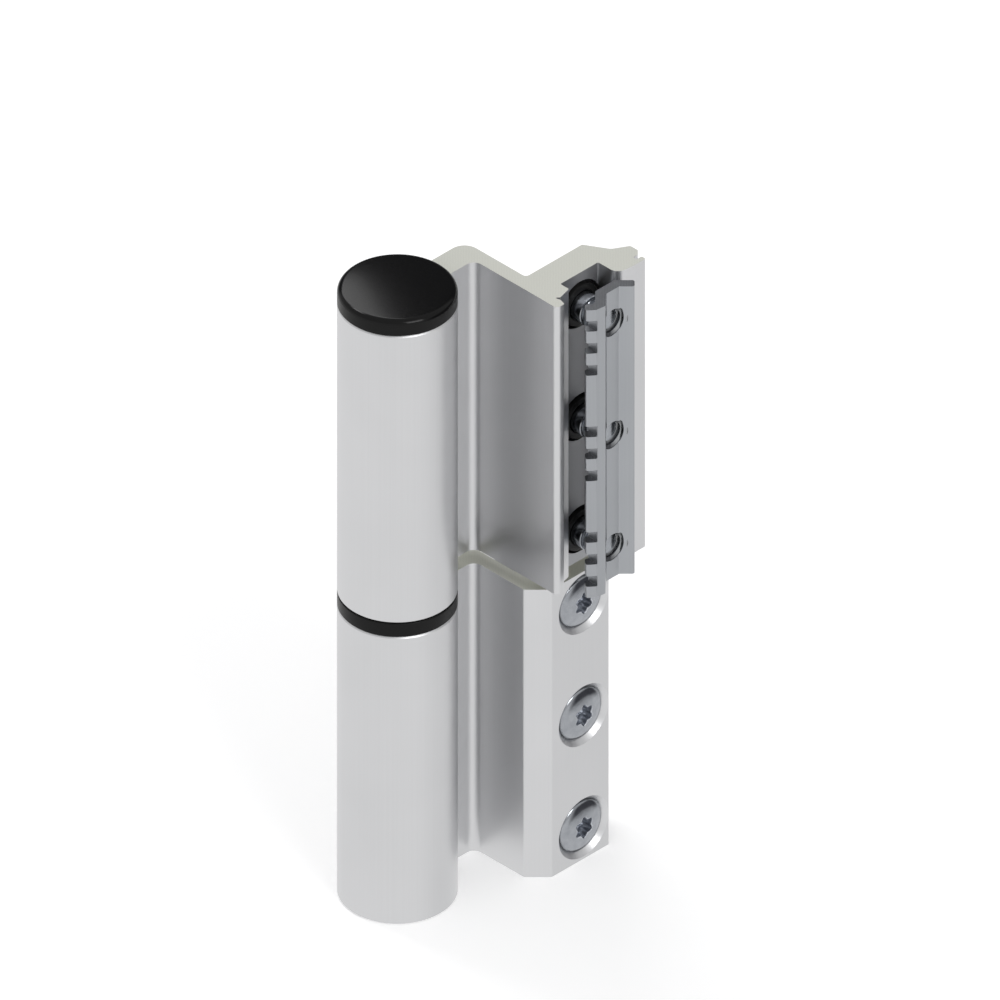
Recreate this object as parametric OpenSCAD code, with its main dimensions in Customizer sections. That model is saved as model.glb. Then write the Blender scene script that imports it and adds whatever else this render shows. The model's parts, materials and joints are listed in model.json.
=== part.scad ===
// Barrel hinge with two leaves that clamp into the grooves of aluminium door profiles.
// The origin is on the barrel's axis at its foot, +Z runs up the barrel, and the upper
// leaf clamps towards +X while the lower leaf clamps towards -X.

/* [Barrel] */
// Outside diameter of the barrel, the spacer ring and the cap
barrel_d = 22; // [20:0.5:26]
// Height of each leaf and of its half of the barrel
leaf_h = 64; // [48:1:90]
// Height of the spacer ring between the two halves
ring_h = 3; // [1.5:0.5:6]
// Height of the cap's rim above the barrel
cap_h = 3.35; // [2.2:0.05:6]
// Rise of the cap's slightly domed top above its rim
cap_dome = 0.25; // [0.1:0.05:0.6]
// Radius of the cap's upper edge
cap_round = 1.1; // [0.3:0.1:1.8]
// Chamfer on the ends of the barrel
barrel_edge = 0.35; // [0.1:0.05:0.8]

/* [Pin and bushes] */
// Diameter of the hinge pin
pin_d = 12; // [8:0.5:13]
// Wall of the two plastic bushes
bush_wall = 2; // [1:0.25:2.5]
// Radial running clearance of the pin in the upper bush
pin_clear = 0.05; // [0.02:0.01:0.1]
// Radial clearance of pieces that are pressed together
seat_clear = 0.02; // [0.01:0.01:0.05]
// Running gap between the spacer ring and the upper half
ring_clear = 0.05; // [0.02:0.01:0.2]
// Thickness of the plug that closes the foot of the barrel
plug_h = 4; // [2:0.5:8]
// Depth of the cap's spigot in the barrel
spigot_h = 5; // [3:0.5:8]
// Chamfer on the ends of the pin
pin_edge = 0.8; // [0.3:0.1:1.5]

/* [Arms] */
// Distance from the barrel's axis to the back face of the first arm
arm_back = 4.8; // [3:0.1:7]
// Thickness of the first arm, which leaves the barrel
arm_t = 5.4; // [4:0.1:7]
// Distance from the barrel's axis to the near face of the cross arm
cross_y = 19.1; // [17:0.1:20]
// Thickness of the cross arm
cross_t = 2.95; // [2.4:0.05:3.4]
// Outer radius of the elbow between the arms
elbow_outer_r = 3; // [1:0.1:5]
// Inner radius of the elbow between the arms
elbow_inner_r = 1.8; // [0.5:0.1:3]

/* [Leaf wall] */
// Distance from the barrel's axis to the back of the leaf wall
wall_x = 11; // [9:0.5:20]
// Thickness of the leaf wall
wall_t = 6; // [5.8:0.1:8]
// Radius in the corner between cross arm and wall
wall_corner_r = 0.8; // [0.2:0.1:1.5]
// How far the wall's head face runs past the far side of the pocket
clamp_tail = 1.85; // [1:0.05:2.6]
// Chamfer on the lower wall's front corner
lower_chamfer = 3.6; // [1:0.1:4.5]

/* [Screw line] */
// Distance from the barrel's axis to the upper leaf's line of screws
screw_y = 30; // [29.5:0.1:33]
// How much further out the lower leaf's screws, pocket and jaws lie
lower_shift = 0.9; // [0.6:0.1:2]
// Distance from each end of a leaf to its nearest screw
screw_inset = 7; // [6.6:0.1:16]
// Outside diameter of the screw's thread and of its plain shank
thread_d = 6; // [5.4:0.1:6.2]
// Diameter of the thread's core
core_d = 4.9; // [4.2:0.1:5.2]
// Diameter of the screw's raised countersunk head
head_d = 10.6; // [9:0.1:11]
// Depth of the head's rim below the wall's face
rim_depth = 1; // [0.6:0.05:1.2]
// Height of the head's cylindrical rim
rim_h = 0.15; // [0.1:0.05:0.5]
// Rise of the head's crown above its rim
crown_h = 1.15; // [0.5:0.05:1.4]
// Length of the screw below the rim
screw_l = 12.25; // [11:0.25:13]
// Chamfer at the screw's tip
tip_edge = 0.6; // [0.2:0.1:1]
// Diameter across the lobes of the six-lobe recess
lobe_d = 4.5; // [3.4:0.1:5]
// Depth of each hollow between two lobes
lobe_hollow = 0.62; // [0.3:0.02:0.8]
// Depth of the six-lobe recess
lobe_depth = 2.4; // [1.2:0.1:2.8]
// Clearance between the screw and whatever it turns in
screw_clear = 0.1; // [0.05:0.01:0.2]

/* [Screw retainers] */
// Width of the black retainer's flange around the screw's shank
flange_w = 1.85; // [1.4:0.05:2.4]
// Length of plain hole between the countersink and the retainer's counterbore
land_t = 0.2; // [0.1:0.05:0.4]
// How far the flange lies below the pocket floor
flange_sunk = 0.7; // [0.3:0.1:1.2]
// How far the flange stands out beyond the retainer's nose
flange_ledge = 0.6; // [0.3:0.1:1]
// How far the nose stands out of the pocket floor
nose_out = 0.5; // [0.2:0.1:1]

/* [Near jaw] */
// Distance from the screw line to the near side of the pocket
near_gap = 5.1; // [5.05:0.05:5.4]
// Height of the near jaw's inner edge above the pocket floor
near_step = 2.2; // [1:0.1:2.4]
// Rise of the near jaw's seat from that edge to the groove
near_rise = 0.8; // [0.3:0.1:1]
// Height of the near jaw's lip above the pocket floor
near_lip = 5; // [4.4:0.1:5.2]
// Thickness of that lip at its root
lip_root_t = 2.3; // [1.9:0.1:2.6]
// Thickness of that lip at its end
lip_end_t = 1.9; // [1.7:0.1:2.2]
// Width and depth of the small groove beside that lip
lip_groove = 0.5; // [0.3:0.05:0.6]
// How far the lip's outer side flares out beyond the cross arm's face
lip_flare = 0.1; // [0:0.05:0.5]
// Length over which it flares out
flare_run = 3.2; // [2:0.1:4]
// Radius of the lip's outer corner
lip_outer_r = 1; // [0.3:0.1:1.1]
// Radius of the lip's inner corner
lip_inner_r = 0.4; // [0.2:0.1:0.7]

/* [Far jaw] */
// Distance from the screw line to the far side of the pocket
far_gap = 4.6; // [4.5:0.1:6]
// Height of the far jaw's inner corner above the pocket floor
far_step = 5; // [4.6:0.05:5.3]
// Radius of that corner
far_round = 2; // [0.5:0.1:2.5]
// Height of the far jaw's seat above the pocket floor
far_seat = 5.35; // [5.35:0.05:5.8]
// Distance from the pocket to the start of the seat
seat_start = 4; // [3.6:0.1:4.6]
// Thickness of the lip that carries the seat
seat_lip_t = 1.05; // [0.8:0.05:1.3]
// Distance that this lip stops short of the jaw's outer end
seat_back = 0.9; // [0.4:0.1:1.2]
// Width of the groove behind that lip
groove_w = 0.9; // [0.4:0.1:1.2]
// Distance from the jaw's outer end to the floor of that groove
groove_d = 2.2; // [1.8:0.1:2.6]
// Chamfer on the jaw's outer end beside that groove
end_chamfer = 1; // [0.5:0.1:1.3]
// Reach of the far jaw past the far side of the pocket
far_reach = 7.8; // [7.3:0.1:9]
// Height of the far jaw's heel above the pocket floor
heel = 0.5; // [0.2:0.1:1]
// Radius of the heel
heel_r = 0.7; // [0.3:0.1:1]
// Depth of the waist between heel and wall, below the pocket floor
waist = 1.3; // [0.8:0.1:2]
// Distance from the jaw's outer end to the waist
waist_in = 3.2; // [2.6:0.1:3.6]
// Radius of the waist
waist_r = 1.5; // [0.5:0.1:2]
// Small radius on the corners of both jaws
jaw_r = 0.3; // [0.1:0.05:0.4]

/* [Clamp plate] */
// Thickness of the clamp plate
plate_t = 2; // [1.5:0.1:2.4]
// Distance from the pocket floor to the back of the plate's valley
plate_gap = 6.1; // [6:0.1:8]
// How far the plate travels towards the wall when its screws are tightened
plate_travel = 3; // [1:0.1:3.2]
// Distance that the plate reaches over the near jaw
plate_reach = 2.7; // [2:0.1:3]
// How far the plate's near crest stands above its valley
crest_h = 2.6; // [2:0.1:3]
// Distance that the near crest is set back from the plate's edge
crest_run = 3.6; // [3:0.1:4]
// How far the plate's near edge drops below its crest
edge_drop = 1.5; // [1:0.1:2]
// Distance from the plate's near edge to the bend before the crest
brow_run = 1.5; // [1:0.1:2]
// How far that bend lies below the crest
brow_drop = 0.3; // [0.1:0.1:0.6]
// Distance from the screw line to the near end of the valley
valley_near = 1.4; // [0.8:0.1:1.8]
// Distance from the screw line to the far end of the valley
valley_far = 1.9; // [1.4:0.1:2.2]
// How far the plate's far edge stands above its valley
wing_h = 2; // [1:0.1:2.6]
// Radius of the plate's bends
bend_r = 0.5; // [0.1:0.1:0.6]
// Height of each notch in the plate's near lip
notch_h = 2.3; // [1:0.1:3]
// Height between neighbouring notches
notch_pitch = 4.9; // [4:0.1:6]
// Distance from each end of the plate to the middle of its nearest group of notches
notch_inset = 8.5; // [7.5:0.1:16]
// Length of each notch, in from the plate's edge
notch_in = 1.8; // [1:0.1:2.2]

/* [Hidden] */
$fn = 96;
// Steps in each rounded corner
arc_steps = 8;
// How far a cut runs past what it cuts
spare = 1;

aluminium = "#cbccce";
plate_grey = "#9fa3a7";
zinc = "#a9adb5";
black = "#18191b";
pin_steel = "#8f9499";

barrel_r = barrel_d / 2;
pin_r = pin_d / 2;
bush_r = pin_r + pin_clear + bush_wall;
bore_r = bush_r + seat_clear;
upper_z = leaf_h + ring_h;
barrel_top = upper_z + leaf_h;
upper_bush_h = leaf_h - spigot_h - seat_clear;
pin_top = upper_z + upper_bush_h - pin_edge;

arm_front = arm_t - arm_back;
cross_back = cross_y + cross_t;
near_y = screw_y - near_gap;
far_y = screw_y + far_gap;
far_end = far_y + far_reach;
wall_front = wall_x + wall_t;

screw_spread = leaf_h / 2 - screw_inset;
screw_heights = [for (i = [1, 0, -1]) leaf_h / 2 + i * screw_spread];
notch_spread = leaf_h / 2 - notch_inset;

shank_r = thread_d / 2;
core_r = core_d / 2;
head_r = head_d / 2;
retainer_r = shank_r + screw_clear / 2;
flange_r = retainer_r + flange_w;
nose_r = flange_r - flange_ledge;
counterbore_r = flange_r + screw_clear;
shank_hole_r = shank_r + screw_clear;
mouth_r = head_r + rim_depth + screw_clear;
crown_r = (head_r * head_r + crown_h * crown_h) / (2 * crown_h);
crown_top = rim_depth - rim_h - crown_h;
cone_end = rim_depth + head_r - shank_r;
counterbore_h = wall_t - cone_end - land_t;
flange_h = counterbore_h - flange_sunk;
thread_start = wall_t + plate_gap - plate_travel - screw_clear;
tip_x = rim_depth - rim_h + screw_l;
lobe_mid_r = (lobe_d - lobe_hollow) / 2;
tapped_r = core_r + pin_clear;

// Corner p between points a and b, rounded to radius r as a run of points
function unit(v) = v / norm(v);
function turn(a) = a > 180 ? a - 360 : a < -180 ? a + 360 : a;
function corner(p, a, b, r) =
    let (
        u = unit(a - p),
        v = unit(b - p),
        half = acos(u * v) / 2,
        reach = min(r / tan(half), 0.49 * min(norm(a - p), norm(b - p))),
        fit_r = reach * tan(half),
        centre = p + unit(u + v) * fit_r / sin(half),
        from = p + u * reach - centre,
        to = p + v * reach - centre,
        start = atan2(from.y, from.x),
        sweep = turn(atan2(to.y, to.x) - start)
    )
    [for (i = [0:arc_steps])
        let (angle = start + sweep * i / arc_steps)
        centre + fit_r * [cos(angle), sin(angle)]];

// Outline through points [x, y, radius], with each corner rounded to its radius
function flat(p) = [p.x, p.y];
function rounded(points) =
    let (n = len(points))
    [for (i = [0:n - 1])
        let (
            p = points[i],
            before = flat(points[(i + n - 1) % n]),
            after = flat(points[(i + 1) % n])
        )
        each (p.z == 0 ? [flat(p)] : corner(flat(p), before, after, p.z))];

function reverse(list) = [for (i = [len(list) - 1:-1:0]) list[i]];

// Far jaw from the pocket outwards and round to the wall's head face, as [height above
// the pocket floor, distance along Y, radius]
far_jaw = [
    [0, far_y, jaw_r],
    [far_step, far_y, far_round],
    [far_seat, far_y + seat_start, 0],
    [far_seat, far_end - seat_back, jaw_r],
    [far_seat - seat_lip_t, far_end - seat_back, jaw_r],
    [far_seat - seat_lip_t, far_end - groove_d, 0],
    [far_seat - seat_lip_t - groove_w, far_end - groove_d, 0],
    [far_seat - seat_lip_t - groove_w, far_end - end_chamfer, 0],
    [far_seat - seat_lip_t - groove_w - end_chamfer, far_end, jaw_r],
    [heel, far_end, heel_r],
    [-waist, far_end - waist_in, waist_r],
    [-wall_t, far_y + clamp_tail, jaw_r]
];

// Near jaw from the pocket outwards and round to the cross arm's near face
lip_root_y = cross_y + lip_root_t;
groove_floor = near_step + near_rise - lip_groove;
near_jaw = [
    [0, near_y, jaw_r],
    [near_step, near_y, jaw_r],
    [near_step + near_rise, lip_root_y + lip_groove, 0],
    [groove_floor, lip_root_y, 0],
    [groove_floor + lip_groove / 2, lip_root_y - lip_groove / 2, 0],
    [near_step + near_rise + lip_groove, lip_root_y, 0],
    [near_lip, cross_y + lip_end_t, lip_inner_r],
    [near_lip, cross_y - lip_flare, lip_outer_r],
    [near_lip - flare_run, cross_y, 0]
];

// A point of a jaw placed on the upper or on the lower leaf's wall
function on_upper(p) = [wall_front + p.x, p.y, p.z];
function on_lower(p) = [wall_x - p.x, p.y + lower_shift, p.z];

upper_outline = rounded([
    [-arm_back, 0, 0],
    [-arm_back, cross_back, elbow_outer_r],
    [wall_x, cross_back, wall_corner_r],
    each [for (p = reverse(far_jaw)) on_upper(p)],
    each [for (p = near_jaw) on_upper(p)],
    [arm_front, cross_y, elbow_inner_r],
    [arm_front, 0, 0]
]);

lower_outline = rounded([
    [-arm_back, 0, 0],
    [-arm_back, cross_back, elbow_outer_r],
    [wall_x - near_step, cross_back, wall_corner_r],
    on_lower(near_jaw[1]),
    on_lower(near_jaw[0]),
    each [for (p = far_jaw) on_lower(p)],
    [wall_front, cross_y + lower_chamfer, wall_corner_r],
    [wall_front - lower_chamfer, cross_y, wall_corner_r],
    [arm_front, cross_y, elbow_inner_r],
    [arm_front, 0, 0]
]);

// Front of the clamp plate in section, as [height above the pocket floor, Y]
valley = plate_gap + plate_t;
plate_edge_y = near_y - plate_reach;
plate_front = [
    [valley + crest_h - edge_drop, plate_edge_y],
    [valley + crest_h - brow_drop, plate_edge_y + brow_run],
    [valley + crest_h, plate_edge_y + crest_run],
    [valley, screw_y - valley_near],
    [valley, screw_y + valley_far],
    [valley + wing_h, screw_y + valley_far + wing_h]
];

// The line that runs at distance t behind an open line of points
function normal(a, b) = let (d = unit(b - a)) [-d.y, d.x];
function behind(line, t) =
    let (last = len(line) - 1)
    [for (i = [0:last])
        let (
            n1 = normal(line[max(i - 1, 0)], line[max(i, 1)]),
            n2 = normal(line[min(i, last - 1)], line[min(i + 1, last)])
        )
        line[i] + (n1 + n2) * t / (1 + n1 * n2)];

plate_back = behind(plate_front, plate_t);
plate_outline = rounded([
    for (p = plate_front) [p.x, p.y, bend_r],
    for (p = reverse(plate_back)) [p.x, p.y, bend_r]
]);

// Places that put a piece drawn from the wall's head face along +X onto each leaf
module on_upper_wall() {
    translate([wall_x, 0, upper_z]) children();
}

module on_lower_wall() {
    translate([wall_front, lower_shift, 0]) mirror([1, 0, 0]) children();
}

// A piece turned about the screw's axis, with +Z laid along +X, at one screw's height
module along_screw(index) {
    translate([0, screw_y, screw_heights[index]]) rotate([0, 90, 0]) children();
}

// One half of the barrel, with its end edges chamfered
module barrel_half() {
    rotate_extrude()
        polygon([
            [0, 0],
            [barrel_r - barrel_edge, 0],
            [barrel_r, barrel_edge],
            [barrel_r, leaf_h - barrel_edge],
            [barrel_r - barrel_edge, leaf_h],
            [0, leaf_h]
        ]);
}

// Barrel and leaf in one extrusion, bored through for the bush
module leaf_body(outline) {
    difference() {
        union() {
            barrel_half();
            linear_extrude(height = leaf_h) polygon(outline);
        }
        translate([0, 0, -spare]) cylinder(r = bore_r, h = leaf_h + 2 * spare);
    }
}

// What is cut out of the wall for one screw: countersink, shank hole and counterbore
module screw_hole(index) {
    along_screw(index) {
        translate([0, 0, -spare])
            cylinder(r1 = mouth_r + spare, r2 = shank_hole_r, h = mouth_r + spare - shank_hole_r);
        cylinder(r = shank_hole_r, h = wall_t);
        translate([0, 0, wall_t - counterbore_h])
            cylinder(r = counterbore_r, h = counterbore_h + spare);
    }
}

module screw_holes() {
    for (index = [0:len(screw_heights) - 1]) screw_hole(index);
}

// Outline of the six-lobe recess
function lobe_point(angle) =
    (lobe_mid_r + lobe_hollow / 2 * cos(6 * angle)) * [cos(angle), sin(angle)];

// Raised countersunk screw with a plain shank, its thread drawn as the core alone
module screw(index) {
    crown = [for (i = [0:arc_steps])
        let (r = head_r * i / arc_steps)
        [r, crown_top + crown_r - sqrt(crown_r * crown_r - r * r)]];
    color(zinc) along_screw(index) difference() {
        rotate_extrude()
            polygon([
                each crown,
                [head_r, rim_depth],
                [shank_r, cone_end],
                [shank_r, thread_start - shank_r + core_r],
                [core_r, thread_start],
                [core_r, tip_x - tip_edge],
                [core_r - tip_edge, tip_x],
                [0, tip_x]
            ]);
        translate([0, 0, crown_top - spare])
            linear_extrude(height = lobe_depth + spare)
                polygon([for (angle = [0:5:355]) lobe_point(angle)]);
    }
}

// Plastic retainer that keeps a screw captive in the wall
module retainer(index) {
    bottom = wall_t - counterbore_h;
    color(black) along_screw(index)
        rotate_extrude()
            polygon([
                [retainer_r, bottom],
                [flange_r, bottom],
                [flange_r, bottom + flange_h],
                [nose_r, bottom + flange_h],
                [nose_r, wall_t + nose_out],
                [retainer_r, wall_t + nose_out]
            ]);
}

// Bent clamp plate with tapped holes and three groups of notches in its near lip
module clamp_plate() {
    difference() {
        translate([wall_t, 0, 0]) linear_extrude(height = leaf_h) polygon(plate_outline);
        for (index = [0:len(screw_heights) - 1])
            along_screw(index) translate([0, 0, wall_t]) cylinder(r = tapped_r, h = valley + wing_h);
        for (group = [-1:1], tooth = [-1:1])
            translate([
                wall_t + plate_gap - spare,
                plate_edge_y - spare,
                leaf_h / 2 + group * notch_spread + tooth * notch_pitch - notch_h / 2
            ])
                cube([plate_t + crest_h + 2 * spare, notch_in + spare, notch_h]);
    }
}

module lower_leaf() {
    color(aluminium) difference() {
        leaf_body(lower_outline);
        on_lower_wall() screw_holes();
    }
}

module upper_leaf() {
    color(aluminium) difference() {
        translate([0, 0, upper_z]) leaf_body(upper_outline);
        on_upper_wall() screw_holes();
    }
}

module hinge_pin() {
    color(pin_steel) translate([0, 0, plug_h])
        rotate_extrude()
            polygon([
                [0, 0],
                [pin_r - pin_edge, 0],
                [pin_r, pin_edge],
                [pin_r, pin_top - plug_h - pin_edge],
                [pin_r - pin_edge, pin_top - plug_h],
                [0, pin_top - plug_h]
            ]);
}

module bush(height, inner_r) {
    color(black) difference() {
        cylinder(r = bush_r, h = height);
        translate([0, 0, -spare]) cylinder(r = inner_r, h = height + 2 * spare);
    }
}

module lower_bush() {
    translate([0, 0, plug_h]) bush(leaf_h - plug_h, pin_r + seat_clear);
}

module upper_bush() {
    translate([0, 0, upper_z]) bush(upper_bush_h, pin_r + pin_clear);
}

module spacer_ring() {
    color(black) translate([0, 0, leaf_h]) difference() {
        cylinder(r = barrel_r, h = ring_h - ring_clear);
        translate([0, 0, -spare]) cylinder(r = pin_r + seat_clear, h = ring_h + 2 * spare);
    }
}

module top_cap() {
    top_r = barrel_r - cap_round;
    dome_r = (top_r * top_r + cap_dome * cap_dome) / (2 * cap_dome);
    cap_edge = [for (i = [0:arc_steps])
        let (angle = 90 * i / arc_steps)
        [top_r + cap_round * cos(angle), cap_h - cap_round + cap_round * sin(angle)]];
    dome = [for (i = [arc_steps - 1:-1:0])
        let (r = top_r * i / arc_steps)
        [r, cap_h + cap_dome - dome_r + sqrt(dome_r * dome_r - r * r)]];
    color(black) translate([0, 0, barrel_top])
        rotate_extrude()
            polygon([
                [0, -spigot_h],
                [bore_r - seat_clear, -spigot_h],
                [bore_r - seat_clear, 0],
                [barrel_r, 0],
                each cap_edge,
                each dome
            ]);
}

module bottom_plug() {
    color(black) cylinder(r = bore_r - seat_clear, h = plug_h);
}

module upper_clamp_plate() {
    color(plate_grey) on_upper_wall() clamp_plate();
}

module lower_clamp_plate() {
    color(plate_grey) on_lower_wall() clamp_plate();
}

module upper_screw_top() { on_upper_wall() screw(0); }
module upper_screw_middle() { on_upper_wall() screw(1); }
module upper_screw_bottom() { on_upper_wall() screw(2); }
module lower_screw_top() { on_lower_wall() screw(0); }
module lower_screw_middle() { on_lower_wall() screw(1); }
module lower_screw_bottom() { on_lower_wall() screw(2); }

module upper_retainer_top() { on_upper_wall() retainer(0); }
module upper_retainer_middle() { on_upper_wall() retainer(1); }
module upper_retainer_bottom() { on_upper_wall() retainer(2); }
module lower_retainer_top() { on_lower_wall() retainer(0); }
module lower_retainer_middle() { on_lower_wall() retainer(1); }
module lower_retainer_bottom() { on_lower_wall() retainer(2); }

lower_leaf();
upper_leaf();
hinge_pin();
lower_bush();
upper_bush();
spacer_ring();
top_cap();
bottom_plug();
upper_clamp_plate();
lower_clamp_plate();
upper_screw_top();
upper_screw_middle();
upper_screw_bottom();
lower_screw_top();
lower_screw_middle();
lower_screw_bottom();
upper_retainer_top();
upper_retainer_middle();
upper_retainer_bottom();
lower_retainer_top();
lower_retainer_middle();
lower_retainer_bottom();
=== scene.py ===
# %% [markdown]
# # Clamp hinge
# A barrel hinge for aluminium doors. Two sawn lengths of aluminium extrusion turn about a
# steel pin, and each grips a door profile between its jaws and a pressed clamp plate.
# The sizes and places come from the CAD frame. This script gives every piece the edges,
# threads and finishes that a plain solid doesn't have.

# %% Load the frame
import json
import math
import bmesh
import bpy
from mathutils import Matrix, Vector


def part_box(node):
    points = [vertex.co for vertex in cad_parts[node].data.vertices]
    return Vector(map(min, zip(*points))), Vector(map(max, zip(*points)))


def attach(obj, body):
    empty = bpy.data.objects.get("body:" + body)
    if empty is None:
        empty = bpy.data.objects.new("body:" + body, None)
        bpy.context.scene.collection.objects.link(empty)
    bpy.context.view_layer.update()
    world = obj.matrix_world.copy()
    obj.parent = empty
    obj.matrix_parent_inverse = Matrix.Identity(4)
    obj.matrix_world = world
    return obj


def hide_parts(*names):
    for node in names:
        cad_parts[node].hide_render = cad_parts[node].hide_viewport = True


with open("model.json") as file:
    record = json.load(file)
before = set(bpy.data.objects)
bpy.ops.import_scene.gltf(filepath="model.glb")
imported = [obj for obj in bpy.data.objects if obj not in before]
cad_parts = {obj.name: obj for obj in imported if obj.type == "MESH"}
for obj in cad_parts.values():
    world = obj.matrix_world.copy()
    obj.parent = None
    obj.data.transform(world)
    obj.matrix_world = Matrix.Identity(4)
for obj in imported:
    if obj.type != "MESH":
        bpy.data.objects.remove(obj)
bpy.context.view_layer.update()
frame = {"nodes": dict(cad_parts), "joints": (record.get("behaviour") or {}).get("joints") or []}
mm = 0.001

# %% [markdown]
# The photograph is taken without perspective from a corner of the object, at equal angles
# to its three axes, so parallel edges stay parallel. An orthographic camera does the same.
# Its scale is the width of the picture divided by how many pixels show one millimetre.

# %% Camera
photo_width_px = 1000
px_per_mm = 5.5
target = Vector((13.19, 13.19, 86.84)) * mm
towards_camera = Vector((1, -1, 1)).normalized()

camera = bpy.data.objects.new("camera", bpy.data.cameras.new("camera"))
bpy.context.scene.collection.objects.link(camera)
camera.data.type = "ORTHO"
camera.data.ortho_scale = photo_width_px / px_per_mm * mm
camera.location = target + towards_camera * 0.5
camera.rotation_euler = (-towards_camera).to_track_quat("-Z", "Y").to_euler()
bpy.context.scene.camera = camera
bpy.context.scene.view_settings.view_transform = "Standard"
print("camera scale:", round(camera.data.ortho_scale, 4))

# %% [markdown]
# A finish is a small network of nodes. Joining nodes one by one is long to write, so a
# class wraps a socket: adding or multiplying two wrapped sockets adds the Math node for it,
# and one method adds any other node. Then a pattern reads like the sum that it is.

# %% Shader helper
class Wire:
    """A socket of a node tree that can be used in sums, as if it were a number."""

    def __init__(self, tree, socket=None):
        self.tree = tree
        self.socket = socket

    def node(self, kind, settings=None, inputs=None, output=0):
        """Add a node, choose its settings, then fill or link its inputs."""
        made = self.tree.nodes.new(kind)
        for name, value in (settings or {}).items():
            setattr(made, name, value)
        for name, value in (inputs or {}).items():
            if isinstance(value, Wire):
                self.tree.links.new(value.socket, made.inputs[name])
            else:
                made.inputs[name].default_value = value
        return Wire(self.tree, made.outputs[output])

    def sum(self, operation, first, second):
        return self.node("ShaderNodeMath", {"operation": operation}, {0: first, 1: second})

    def __add__(self, other):
        return self.sum("ADD", self, other)

    def __radd__(self, other):
        return self.sum("ADD", other, self)

    def __sub__(self, other):
        return self.sum("SUBTRACT", self, other)

    def __rsub__(self, other):
        return self.sum("SUBTRACT", other, self)

    def __mul__(self, other):
        return self.sum("MULTIPLY", self, other)

    def __rmul__(self, other):
        return self.sum("MULTIPLY", other, self)

    def __truediv__(self, other):
        return self.sum("DIVIDE", self, other)

    def stretched(self, x, y, z):
        """These coordinates multiplied along each axis, which stretches a pattern."""
        return self.node("ShaderNodeVectorMath", {"operation": "MULTIPLY"}, {0: self, 1: (x, y, z)})

    def noise(self, per_mm, detail=3.0):
        """Cloudy noise from 0 to 1, with about this many blobs in a millimetre."""
        return self.node("ShaderNodeTexNoise", {"noise_dimensions": "3D"},
                         {"Vector": self, "Scale": per_mm / mm, "Detail": detail})

    def between(self, low, high):
        """0 below low, 1 above high and a straight slope in between."""
        return self.node("ShaderNodeMapRange", {}, {"Value": self, "From Min": low, "From Max": high})

    def mix(self, first, second):
        """A blend of two colours, with this value as the share of the second."""
        return self.node("ShaderNodeMix", {"data_type": "RGBA"},
                         {0: self, 6: (*first, 1), 7: (*second, 1)}, output=2)

    def bump(self, height_mm):
        """A surface direction that follows this value as a height."""
        return self.node("ShaderNodeBump", {},
                         {"Height": self, "Distance": height_mm * mm, "Strength": 1.0})


def new_finish(name, metallic, roughness):
    """A material with its Principled shader, and a Wire that holds the object's coordinates."""
    material = bpy.data.materials.new(name)
    material.use_nodes = True
    shader = material.node_tree.nodes["Principled BSDF"]
    shader.inputs["Metallic"].default_value = metallic
    shader.inputs["Roughness"].default_value = roughness
    coordinates = Wire(material.node_tree).node("ShaderNodeTexCoord", output=3)
    return material, shader, coordinates


def feed(shader, socket, wire):
    """Link a wire to one input of a shader."""
    wire.tree.links.new(wire.socket, shader.inputs[socket])


# %% [markdown]
# The leaves are drawn through a die and then anodised to a satin silver. The die leaves
# hair-fine lines along the length, which here means along Z. Noise squeezed in X and Y and
# stretched in Z gives such lines, and a slow noise gives the faint cloudiness of anodising.
# The floor of the clamp's pocket gets a darker, duller copy of this finish, which is painted shade for
# the shade that falls in the pocket.

# %% Satin anodised aluminium
def satin_aluminium(name, light, dark, roughness):
    """Anodised extrusion with die lines along Z and faint clouds of colour."""
    material, shader, place = new_finish(name, 1.0, roughness)
    lines = place.stretched(1, 1, 0.004).noise(3.2, 4)
    clouds = place.noise(0.05, 2)
    feed(shader, "Base Color", (0.6 * clouds + 0.4 * lines).between(0.25, 0.75).mix(dark, light))
    feed(shader, "Roughness", roughness - 0.04 + 0.08 * lines)
    feed(shader, "Normal", lines.bump(0.006))
    return material


leaf_metal = satin_aluminium("leaf_aluminium", (0.7, 0.702, 0.712), (0.65, 0.653, 0.662), 0.37)
plate_metal = satin_aluminium("plate_aluminium", (0.42, 0.434, 0.454), (0.37, 0.383, 0.403), 0.33)
# The pocket finish is darker than the leaf's: painted shade for the pocket floor.
pocket_painted_shade_metal = satin_aluminium("leaf_pocket_painted_shade", (0.46, 0.465, 0.48), (0.4, 0.405, 0.42), 0.5)
# The tapped thread finish is darker than the plate: painted shade inside the holes.
tapped_thread_painted_shade_metal = satin_aluminium("plate_tapped_thread_painted_shade", (0.4, 0.41, 0.42), (0.3, 0.31, 0.32), 0.25)
print("finishes:", leaf_metal.name, plate_metal.name, pocket_painted_shade_metal.name, tapped_thread_painted_shade_metal.name)

# %% [markdown]
# A leaf is sawn to length after anodising, so its ends are bare metal: a warmer colour than
# the anodised sides, and crossed by the fine marks of the saw. A Wave texture gives the
# marks, bent a little by its own distortion so that they don't look ruled.

# %% Sawn ends
def sawn_end(name, light, dark, metallic, roughness):
    """Bare cut metal with slightly curved saw marks."""
    material, shader, place = new_finish(name, metallic, roughness)
    marks = place.node("ShaderNodeTexWave", {"bands_direction": "DIAGONAL"},
                       {"Vector": place, "Scale": 0.9 / mm, "Distortion": 2.5, "Detail": 2.0}, output=1)
    grain = place.noise(4.0)
    tone = (0.2 * marks + 0.8 * grain).between(0.2, 0.8)
    feed(shader, "Base Color", tone.mix(dark, light))
    feed(shader, "Normal", tone.bump(0.004))
    return material


leaf_end_metal = sawn_end("leaf_sawn_end", (0.62, 0.625, 0.572), (0.565, 0.57, 0.52), 0.15, 0.7)
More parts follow.
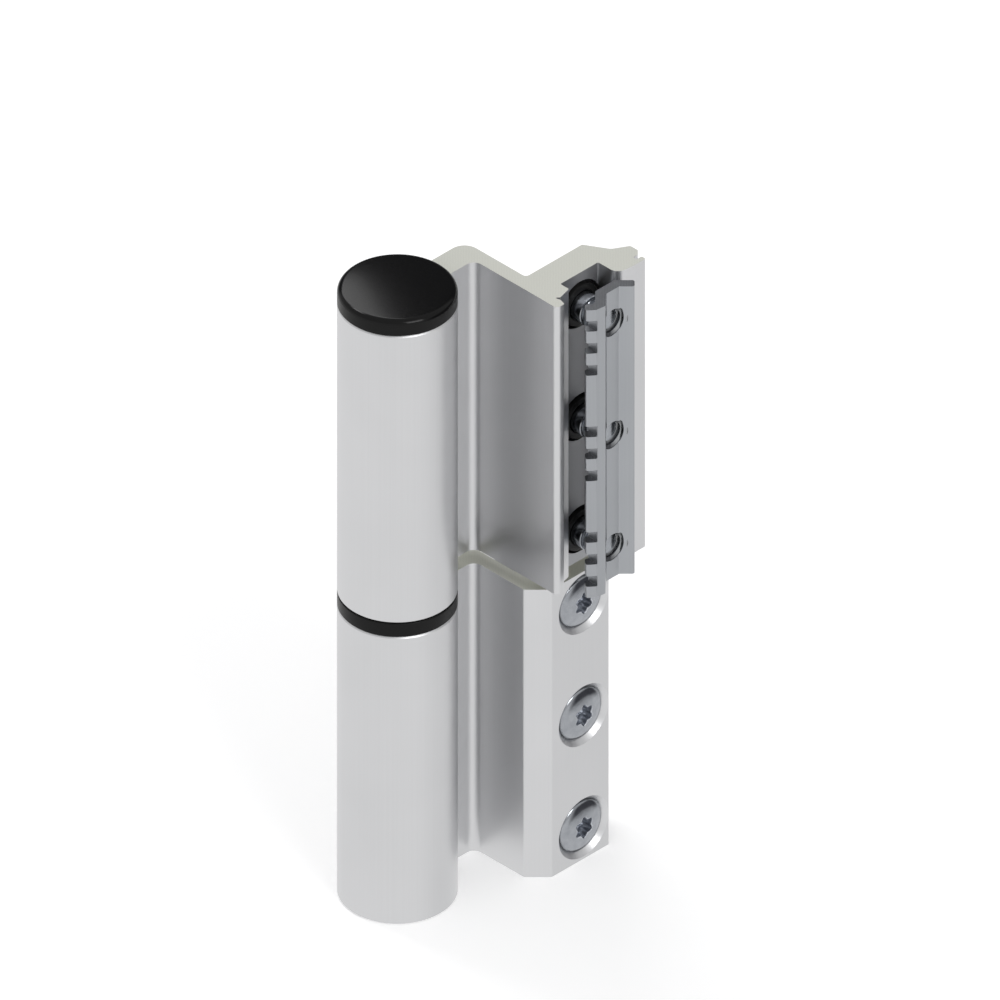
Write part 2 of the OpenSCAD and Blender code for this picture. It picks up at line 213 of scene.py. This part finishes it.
# The plate's sheared ends are bare cut metal, with painted shade: their colour is darkened far below the
# plate's own.
plate_end_painted_shade_metal = sawn_end("plate_sheared_end_painted_shade", (0.17, 0.175, 0.185), (0.12, 0.124, 0.132), 0.8, 0.45)
print("finishes:", leaf_end_metal.name, plate_end_painted_shade_metal.name)

# %% [markdown]
# The screws are bright zinc: smooth, a little blue, with a few soft spots where the plating
# The six-lobe recess is punched and duller, and its zinc is a lighter copy that is painted light against
# the shade in the recess.
# The black pieces are moulded plastic, whose skin is a very fine grain. The cap has come
# from a polished mould, so it shines more than the others.
# The pin is ground steel, so its fine scratches run round it, across Z.

# %% Zinc, plastic and steel
def bright_zinc(name, light, dark, roughness):
    """Zinc plating with soft clouds in colour and gloss."""
    material, shader, place = new_finish(name, 1.0, roughness)
    clouds = place.noise(0.6, 2)
    feed(shader, "Base Color", clouds.between(0.3, 0.7).mix(dark, light))
    feed(shader, "Roughness", roughness - 0.03 + 0.06 * clouds)
    feed(shader, "Normal", place.noise(1.5, 3).bump(0.008))
    return material


def black_plastic(name, gloss, dark, light, roughness=0.26, grain_mm=0.004):
    """Satin black plastic with a moulded grain."""
    material, shader, place = new_finish(name, 0.0, roughness)
    shader.inputs["Specular IOR Level"].default_value = gloss
    grain = place.noise(5.0, 3)
    feed(shader, "Base Color", grain.mix((dark, dark, dark), (light, light, light)))
    feed(shader, "Roughness", roughness + 0.14 * grain)
    feed(shader, "Normal", grain.bump(grain_mm))
    return material


def ground_steel():
    """Ground steel with scratches that run round the pin."""
    material, shader, place = new_finish("pin_steel", 1.0, 0.28)
    scratches = place.stretched(0.05, 0.05, 1).noise(12.0, 3)
    feed(shader, "Base Color", scratches.mix((0.42, 0.42, 0.43), (0.56, 0.56, 0.57)))
    feed(shader, "Roughness", 0.22 + 0.14 * scratches)
    feed(shader, "Normal", scratches.bump(0.002))
    return material


zinc = bright_zinc("zinc_screw", (0.385, 0.4, 0.425), (0.32, 0.335, 0.36), 0.16)
# The recess finish is much lighter than the zinc: painted light inside the recess.
recess_painted_light_zinc = bright_zinc("zinc_recess_painted_light", (0.56, 0.58, 0.62), (0.4, 0.42, 0.46), 0.3)
plastic = black_plastic("black_plastic", 0.12, 0.006, 0.01)
cap_plastic = black_plastic("cap_plastic", 0.18, 0.003, 0.005, 0.07, 0.0006)
retainer_plastic = black_plastic("retainer_plastic", 0.15, 0.01, 0.017)
steel = ground_steel()
print("finishes:", zinc.name, plastic.name, steel.name)

# %% [markdown]
# Every piece ends the same way. Weighted normals keep the big flat faces flat beside narrow
# bevels.

# %% Finishing a piece
def add_piece(bm, name, node, body, finishes):
    """Turn a bmesh into a finished piece that replaces a CAD node."""
    for face in bm.faces:
        face.smooth = True
    for edge in bm.edges:
        edge.smooth = edge.smooth and edge.calc_face_angle(0) < math.radians(40)
    mesh = bpy.data.meshes.new(name)
    bm.to_mesh(mesh)
    bm.free()
    for finish in finishes:
        mesh.materials.append(finish)
    piece = bpy.data.objects.new(name, mesh)
    bpy.context.scene.collection.objects.link(piece)
    weighted = piece.modifiers.new("weighted_normals", "WEIGHTED_NORMAL")
    weighted.keep_sharp = True
    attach(piece, body)
    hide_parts(node)
    print(name, "has", len(mesh.polygons), "faces and rides on", body)
    return piece


def soften(bm, width_mm, sharp_degrees=30, segments=3):
    """Round every edge that is sharper than an angle."""
    sharp = [e for e in bm.edges if len(e.link_faces) == 2
             and e.calc_face_angle() > math.radians(sharp_degrees)]
    bmesh.ops.bevel(bm, geom=sharp, offset=width_mm * mm, offset_type="OFFSET", affect="EDGES",
                    segments=segments, profile=0.5, material=-1, clamp_overlap=True)


# %% [markdown]
# The section of a leaf is the die's own shape, and the frame already holds it exactly, so a
# leaf starts as a copy of its CAD mesh. That copy is loose triangles: they are merged, the
# flat ones are dissolved into whole faces, and then each sharp edge gets the small round
# that tumbling leaves. Without that round no edge catches light. The two sawn ends are the
# faces that look straight up or down.

# %% Copies of CAD nodes
def copy_of(node):
    """A merged copy of a CAD node, with its flat triangles joined into whole faces."""
    bm = bmesh.new()
    bm.from_mesh(frame["nodes"][node].data)
    bmesh.ops.remove_doubles(bm, verts=bm.verts, dist=0.002 * mm)
    bmesh.ops.dissolve_limit(bm, angle_limit=math.radians(0.5), verts=bm.verts, edges=bm.edges)
    for face in bm.faces:
        face.material_index = 0
    return bm


def mark_pocket_shade(bm, wall_x_mm, near_mm, far_mm, index=2):
    """Give the pocket's floor, which is a flat face at one X, the darker finish that paints shade on it.
    """
    for face in bm.faces:
        middle = face.calc_center_median() / mm
        if abs(face.normal.x) > 0.99 and abs(middle.x - wall_x_mm) < 0.05 and near_mm < middle.y < far_mm:
            face.material_index = index


def mark_ends(bm, index=1):
    """Give the faces that look straight up or down another finish."""
    ends = [f for f in bm.faces if abs(f.normal.z) > 0.99]
    for face in ends:
        face.material_index = index
    return len(ends)


# %% Leaves
leaf_edge = 0.14
pocket_floor_x = {"upper": 17, "lower": 11}
pocket_near_y = 24
pocket_far_y = 37
for side in ("upper", "lower"):
    leaf = copy_of(f"{side}_leaf")
    end_count = mark_ends(leaf)
    # The pocket floor gets the darker finish with painted shade.
    mark_pocket_shade(leaf, pocket_floor_x[side], pocket_near_y, pocket_far_y)
    soften(leaf, leaf_edge)
    add_piece(leaf, f"{side}_leaf_extrusion", f"{side}_leaf", f"{side}_leaf",
              (leaf_metal, leaf_end_metal, pocket_painted_shade_metal))
    print(side, "leaf has", end_count, "sawn faces")

# %% [markdown]
# The cap, ring, plug and retainers are turned shapes. A few vertices give half a section,
# and a full spin about the axis with its doubles merged gives the piece. The last step
# rounds the edges as the mould does.

# %% Turned pieces
def turned(section_mm, steps=96):
    """A closed skin spun about Z from half a section given as (radius, height)."""
    bm = bmesh.new()
    points = [bm.verts.new((radius * mm, 0, height * mm)) for radius, height in section_mm]
    line = [bm.edges.new(pair) for pair in zip(points, points[1:])]
    if section_mm[0][0] > 0:
        line.append(bm.edges.new((points[-1], points[0])))
    bmesh.ops.spin(bm, geom=points + line, cent=(0, 0, 0), axis=(0, 0, 1), angle=math.tau,
                   steps=steps, use_merge=True)
    bmesh.ops.remove_doubles(bm, verts=bm.verts, dist=0.001 * mm)
    bmesh.ops.recalc_face_normals(bm, faces=bm.faces)
    return bm


def height_of(node):
    """Lowest and highest point of a CAD node, in millimetres."""
    low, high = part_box(node)
    return low.z / mm, high.z / mm


def radius_of(node):
    """Outer radius of a round CAD node on the barrel's axis, in millimetres."""
    low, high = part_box(node)
    return (high.x - low.x) / 2 / mm


# %% Cap, ring and plug
barrel_r = radius_of("spacer_ring")
pin_r = radius_of("hinge_pin")
bush_r = radius_of("upper_bush")
cap_foot, cap_top = height_of("top_cap")
barrel_top = height_of("upper_leaf")[1]
ring_low, ring_high = height_of("spacer_ring")
plug_top = height_of("bottom_plug")[1]
cap_round = 1.1
cap_dome = 0.25
cap_foot_edge = 0.12
ring_clearance = 0.02
flat_r = barrel_r - cap_round
rim = cap_top - cap_dome
cap_line = [(0, cap_foot), (bush_r, cap_foot), (bush_r, barrel_top),
            (barrel_r - cap_foot_edge, barrel_top), (barrel_r, barrel_top + cap_foot_edge)]
for step in range(9):
    angle = math.radians(90 * step / 8)
    cap_line.append((flat_r + cap_round * math.cos(angle), rim - cap_round + cap_round * math.sin(angle)))
for step in range(5, -1, -1):
    cap_line.append((flat_r * step / 6, rim + cap_dome * (1 - (step / 6) ** 2)))
cap = turned(cap_line)
for face in cap.faces:
    face.material_index = 1 if face.normal.z > 0.25 else 0
add_piece(cap, "barrel_cap", "top_cap", "upper_leaf", (plastic, cap_plastic))

ring_bore_r = pin_r + ring_clearance
ring = turned([(ring_bore_r, ring_low), (barrel_r, ring_low), (barrel_r, ring_high),
               (ring_bore_r, ring_high)])
soften(ring, 0.25)
add_piece(ring, "barrel_ring", "spacer_ring", "lower_leaf", (plastic,))

plug = turned([(0, 0), (bush_r, 0), (bush_r, plug_top), (0, plug_top)])
soften(plug, 0.3)
add_piece(plug, "barrel_foot_plug", "bottom_plug", "lower_leaf", (plastic,))

# %% [markdown]
# A screw is worked out once, standing on its head at the origin, and then laid along its
# joint's axis, which the frame gives for each of the six. Its skin is one circle that is
# extruded ring by ring, from the tip back to the head, over the crown and down into the
# six-lobe recess. The rings of the recess are not round: their radius swings six times.

# %% Screw sizes
core_r = 2.45
shank_r = 3.0
head_r = 5.3
rim_depth = 1.0
rim_h = 0.15
crown_h = 0.7
shoulder_r = 1.4
shoulder_drop = 0.45
tip_edge = 0.6
tip = 13.1
thread_start = 9.0
thread_end = tip - 0.3
half_crest = 0.06
pitch = 1.0
crown_r = (head_r ** 2 + crown_h ** 2) / (2 * crown_h)
crown_top = rim_depth - rim_h - crown_h - shoulder_drop
rim_edge = 0.08
shank_edge = 0.12
lobe_out = 2.25
lobe_in = 1.63
punch_round = 0.3
recess_depth = 2.4
recess_cone = 0.35
screw_sides = 96
print("crown stands", crown_h, "mm high on a radius of", round(crown_r, 2), "mm")


def crown_height(radius):
    """Height of the crown at a distance from the screw's axis, with a rounded shoulder."""
    dome = crown_top + crown_r - math.sqrt(crown_r ** 2 - radius ** 2)
    past = max(0, radius - (head_r - shoulder_r)) / shoulder_r
    return dome + shoulder_drop * (1 - math.sqrt(max(0, 1 - past ** 2)))


def lobe(angle, grow=0.0):
    """Radius of the recess, which has six lobes."""
    middle = (lobe_out + lobe_in) / 2
    return middle + (lobe_out - lobe_in) / 2 * math.cos(6 * angle) + grow


# %% Screw skin
def screw_skin():
    """The screw without its thread, as rings of vertices from tip to recess."""
    bm = bmesh.new()
    bmesh.ops.create_circle(bm, cap_ends=True, segments=screw_sides, radius=(core_r - tip_edge) * mm)
    for vert in bm.verts:
        vert.co.z = tip * mm
    rings = [(lambda a, r=r: r, lambda r, z=z: z) for r, z in (
        (core_r, tip - tip_edge), (core_r, thread_start),
        (shank_r - shank_edge, thread_start - 0.03), (shank_r, thread_start - 0.03 - shank_edge),
        (shank_r, rim_depth + head_r - shank_r), (head_r - rim_edge, rim_depth + rim_edge),
        (head_r, rim_depth), (head_r, rim_depth - rim_h))]
    for share in (0.997, 0.988, 0.973, 0.952, 0.925, 0.89, 0.84, 0.77, 0.7, 0.62, 0.54):
        rings.append((lambda a, s=share: s * head_r, crown_height))
    rings.append((lambda a: lobe(a, punch_round), crown_height))
    rings.append((lambda a: lobe(a, 0.4 * punch_round), crown_height))
    rings.append((lobe, lambda r: crown_height(r) + 0.1))
    rings.append((lobe, lambda r: crown_top + recess_depth))
    rings.append((lambda a: 0.2, lambda r: crown_top + recess_depth + recess_cone))
    edges = list(bm.edges)
    for radius, height in rings:
        made = bmesh.ops.extrude_edge_only(bm, edges=edges)["geom"]
        edges = [g for g in made if isinstance(g, bmesh.types.BMEdge)
                 and all(v in made for v in g.verts)]
        for vert in [g for g in made if isinstance(g, bmesh.types.BMVert)]:
            angle = math.atan2(vert.co.y, vert.co.x)
            reach = radius(angle)
            vert.co = Vector((reach * math.cos(angle), reach * math.sin(angle), height(reach))) * mm
    bmesh.ops.holes_fill(bm, edges=edges)
    bmesh.ops.recalc_face_normals(bm, faces=bm.faces)
    for face in bm.faces:
        middle = face.calc_center_median() / mm
        # The recess faces get the lighter zinc, which is painted light.
        if math.hypot(middle.x, middle.y) < lobe_out + 0.02 and middle.z < 4:
            face.material_index = 1
    return bm


# %% [markdown]
# The thread is a ridge that winds round the core. Four vertices give its section, and a
# spin with a small step along the axis winds it. At both ends the ridge runs out into the
# core, as a rolled thread does. A thin coil can end up inside out when its normals are
# worked out, and then its volume is negative, so that is tested and turned round.

# %% Screw thread
def thread_ridge(start, end, root_r, crest_r, half_width):
    """The mesh of a helical ridge from start to end along Z, with flanks at 30 degrees."""
    steps_per_turn = 48
    steps = round((end - start) / pitch * steps_per_turn)
    slope = (crest_r - root_r) * math.tan(math.radians(30))
    section = [(root_r, -half_width - slope), (crest_r, -half_width), (crest_r, half_width),
               (root_r, half_width + slope)]
    bm = bmesh.new()
    points = [bm.verts.new(Vector((r, 0, start + z)) * mm) for r, z in section]
    line = [bm.edges.new(pair) for pair in zip(points, points[1:] + points[:1])]
    bmesh.ops.spin(bm, geom=points + line, cent=(0, 0, 0), axis=(0, 0, 1),
                   angle=math.tau * steps / steps_per_turn, steps=steps,
                   dvec=(0, 0, pitch / steps_per_turn * mm))
    for vert in bm.verts:
        run = min(vert.co.z / mm - start, end - vert.co.z / mm) / (0.5 * pitch)
        share = min(max(run, 0), 1)
        radius = math.hypot(vert.co.x, vert.co.y) / mm
        reach = root_r + (radius - root_r) * share
        vert.co.xy = vert.co.xy * (reach / radius)
    bmesh.ops.holes_fill(bm, edges=[e for e in bm.edges if e.is_boundary])
    bmesh.ops.recalc_face_normals(bm, faces=bm.faces)
    if bm.calc_volume(signed=True) < 0:
        bmesh.ops.reverse_faces(bm, faces=bm.faces)
    mesh = bpy.data.meshes.new("thread")
    bm.to_mesh(mesh)
    bm.free()
    return mesh


# %% Screws
def laid_along(joint):
    """The placement that lays a piece made along Z on a joint's axis."""
    turn = Vector((0, 0, 1)).rotation_difference(Vector(joint["axis"]))
    return Matrix.Translation(Vector(joint["pos_m"])) @ turn.to_matrix().to_4x4()


screw_joints = {j["child"]: j for j in frame["joints"] if "_screw_" in j["name"]}
for child, joint in screw_joints.items():
    screw = screw_skin()
    screw.from_mesh(thread_ridge(thread_start, thread_end, core_r - 0.05, shank_r, half_crest))
    bmesh.ops.transform(screw, matrix=laid_along(joint), verts=screw.verts)
    add_piece(screw, f"{child}_m6", child, child, (zinc, recess_painted_light_zinc))

# %% [markdown]
# A clamp plate is pressed from strip, and its three holes are tapped. It starts as a copy of
# its CAD mesh, as a leaf does. For the tapped holes the same ridge as on a screw, a little
# larger, is taken away with a Boolean modifier. It starts a whole number of turns after the
# screw's own thread, so screw and plate mesh in every position. Where a cut face meets an
# uncut one the edge is kept sharp, because a smooth one would smear the shading of the plate.

# %% Tapped holes
def cut_away(bm, cutter, finishes, cut_index):
    """The piece without the cutter's shape, worked out by a Boolean modifier."""
    for face in cutter.faces:
        face.material_index = cut_index
    made = []
    for name, part in (("uncut", bm), ("cutter", cutter)):
        mesh = bpy.data.meshes.new(name)
        part.to_mesh(mesh)
        part.free()
        for finish in finishes:
            mesh.materials.append(finish)
        made.append(bpy.data.objects.new(name, mesh))
        bpy.context.scene.collection.objects.link(made[-1])
    uncut, tool = made
    cut = uncut.modifiers.new("cut", "BOOLEAN")
    cut.operation = "DIFFERENCE"
    cut.solver = "EXACT"
    cut.object = tool
    result = bmesh.new()
    result.from_object(uncut, bpy.context.evaluated_depsgraph_get())
    for helper in made:
        bpy.data.objects.remove(helper)
    wide = [f for f in result.faces if len(f.verts) > 4]
    bmesh.ops.triangulate(result, faces=wide)
    for edge in result.edges:
        sides = {f.material_index == cut_index for f in edge.link_faces}
        edge.smooth = len(sides) == 1
    return result


# %% Clamp plates
plate_edge = 0.16
thread_gap = 0.06
# The cut faces of the tapped holes get the darker finish, which is painted shade.
plate_finishes = (plate_metal, plate_end_painted_shade_metal, tapped_thread_painted_shade_metal)
for side in ("upper", "lower"):
    plate = copy_of(f"{side}_clamp_plate")
    mark_ends(plate)
    soften(plate, plate_edge)
    taps = bmesh.new()
    for child, joint in screw_joints.items():
        if child.startswith(side):
            tap = thread_ridge(thread_start + 2 * pitch, thread_start + 7 * pitch, core_r - 0.03,
                               shank_r + thread_gap, half_crest + thread_gap)
            tap.transform(laid_along(joint))
            taps.from_mesh(tap)
    plate = cut_away(plate, taps, plate_finishes, 2)
    add_piece(plate, f"{side}_pressed_plate", f"{side}_clamp_plate", f"{side}_plate",
              plate_finishes)

# %% Retainers
wall_t = 6.0
counterbore_h = 2.5
flange_h = 1.8
flange_r = 4.9
nose_r = 4.3
nose_out = 0.5
retainer_bore_r = 3.05
floor_of_bore = wall_t - counterbore_h
for child, joint in screw_joints.items():
    node = child.replace("screw", "retainer")
    retainer = turned([(retainer_bore_r, floor_of_bore), (flange_r, floor_of_bore),
                       (flange_r, floor_of_bore + flange_h), (nose_r, floor_of_bore + flange_h),
                       (nose_r, wall_t + nose_out), (retainer_bore_r, wall_t + nose_out)], steps=64)
    soften(retainer, 0.15)
    bmesh.ops.transform(retainer, matrix=laid_along(joint), verts=retainer.verts)
    add_piece(retainer, f"{node}_moulded", node, node.split("_")[0] + "_leaf",
              (retainer_plastic,))

# %% Inner pieces that keep their CAD shape
for node, finish in (("hinge_pin", steel), ("lower_bush", plastic), ("upper_bush", plastic)):
    mesh = frame["nodes"][node].data
    mesh.materials.clear()
    mesh.materials.append(finish)
print("pin and bushes keep their CAD shape")

# %% [markdown]
# The light is a bright studio with a dark wall behind the object. That wall is what the cap,
# the ends of the plate and the upper sides of the screw heads mirror, so it gives them their
# contrast. A large lamp overhead lights the sawn ends, a smaller one at the right puts a
# bright line on the countersinks, and a third stands where the shanks of the upper screws
# mirror it. The camera itself sees plain white.
# The paper floor is a few metres wide, and bright metal would mirror it up to the horizon.
# A real paper ends sooner, so a glossy ray looks through the floor to the world, which is
# bright below and dark from a little under the horizon on the far side.

# %% Studio
world = bpy.data.worlds.new("studio")
bpy.context.scene.world = world
world.use_nodes = True
sky = Wire(world.node_tree)
direction = sky.node("ShaderNodeTexCoord", output=0)
camera_ray = sky.node("ShaderNodeLightPath", output=0)
height = sky.node("ShaderNodeSeparateXYZ", None, {0: direction}, output=2)


def towards(x, y):
    """How nearly a direction points this way, from -1 to 1."""
    return sky.node("ShaderNodeVectorMath", {"operation": "DOT_PRODUCT"},
                    {0: direction, 1: (x, y, 0)}, output=1)


far_band = towards(0.7, 0.71).between(0.72, 0.9) * height.between(-0.45, -0.27)
far_band = far_band * (1 - height.between(0.25, 0.45))
back_wall = towards(-0.6, 0.8).between(0.5, 0.7) * height.between(-0.1, 0.1)
open_sky = 0.3 * height.between(0.0, 0.2)
darkness = sky.sum("MAXIMUM", sky.sum("MAXIMUM", far_band, back_wall), open_sky) * (1 - camera_ray)
background = world.node_tree.nodes["Background"]
feed(background, "Color", darkness.mix((1, 1, 1), (0.1, 0.1, 0.11)))
background.inputs["Strength"].default_value = 0.95


def soft_lamp(name, place, aim, size, power):
    """A large square lamp that points at the object."""
    data = bpy.data.lights.new(name, "AREA")
    data.size = size
    data.energy = power
    lamp = bpy.data.objects.new(name, data)
    lamp.location = place
    lamp.rotation_euler = (Vector(aim) - Vector(place)).to_track_quat("-Z", "Y").to_euler()
    bpy.context.scene.collection.objects.link(lamp)
    return lamp


soft_lamp("right_lamp", (0.46, -0.1, 0.41), (0.01, 0.02, 0.07), 0.26, 0.9)
soft_lamp("top_lamp", (-0.68, 0.36, 0.9), (0.0, 0.0, 0.1), 0.45, 2.1)
soft_lamp("shank_lamp", (-0.615, -0.047, 1.016), (0.02, 0.03, 0.125), 0.2, 1.3)
print("studio ready")

# %% Floor
def floor_finish():
    """Plain white paper that keeps the object's shadow."""
    material, shader, place = new_finish("floor_paper", 0.0, 0.9)
    shader.inputs["Specular IOR Level"].default_value = 0.0
    shader.inputs["Base Color"].default_value = (0.9, 0.9, 0.9, 1)
    shader.inputs["Emission Strength"].default_value = 0.28
    feed(shader, "Emission Color", place.node("ShaderNodeLightPath").mix((0.4, 0.4, 0.4), (1, 1, 1)))
    clear = place.node("ShaderNodeBsdfTransparent")
    paper = Wire(material.node_tree, shader.outputs[0])
    glossy_ray = place.node("ShaderNodeLightPath", output=3)
    both = place.node("ShaderNodeMixShader", None, {0: glossy_ray, 1: paper, 2: clear})
    output = material.node_tree.nodes["Material Output"]
    material.node_tree.links.new(both.socket, output.inputs["Surface"])
    return material


floor_mesh = bmesh.new()
bmesh.ops.create_grid(floor_mesh, x_segments=1, y_segments=1, size=4.0)
floor = bpy.data.objects.new("floor", bpy.data.meshes.new("floor"))
floor_mesh.to_mesh(floor.data)
floor_mesh.free()
floor.data.materials.append(floor_finish())
bpy.context.scene.collection.objects.link(floor)
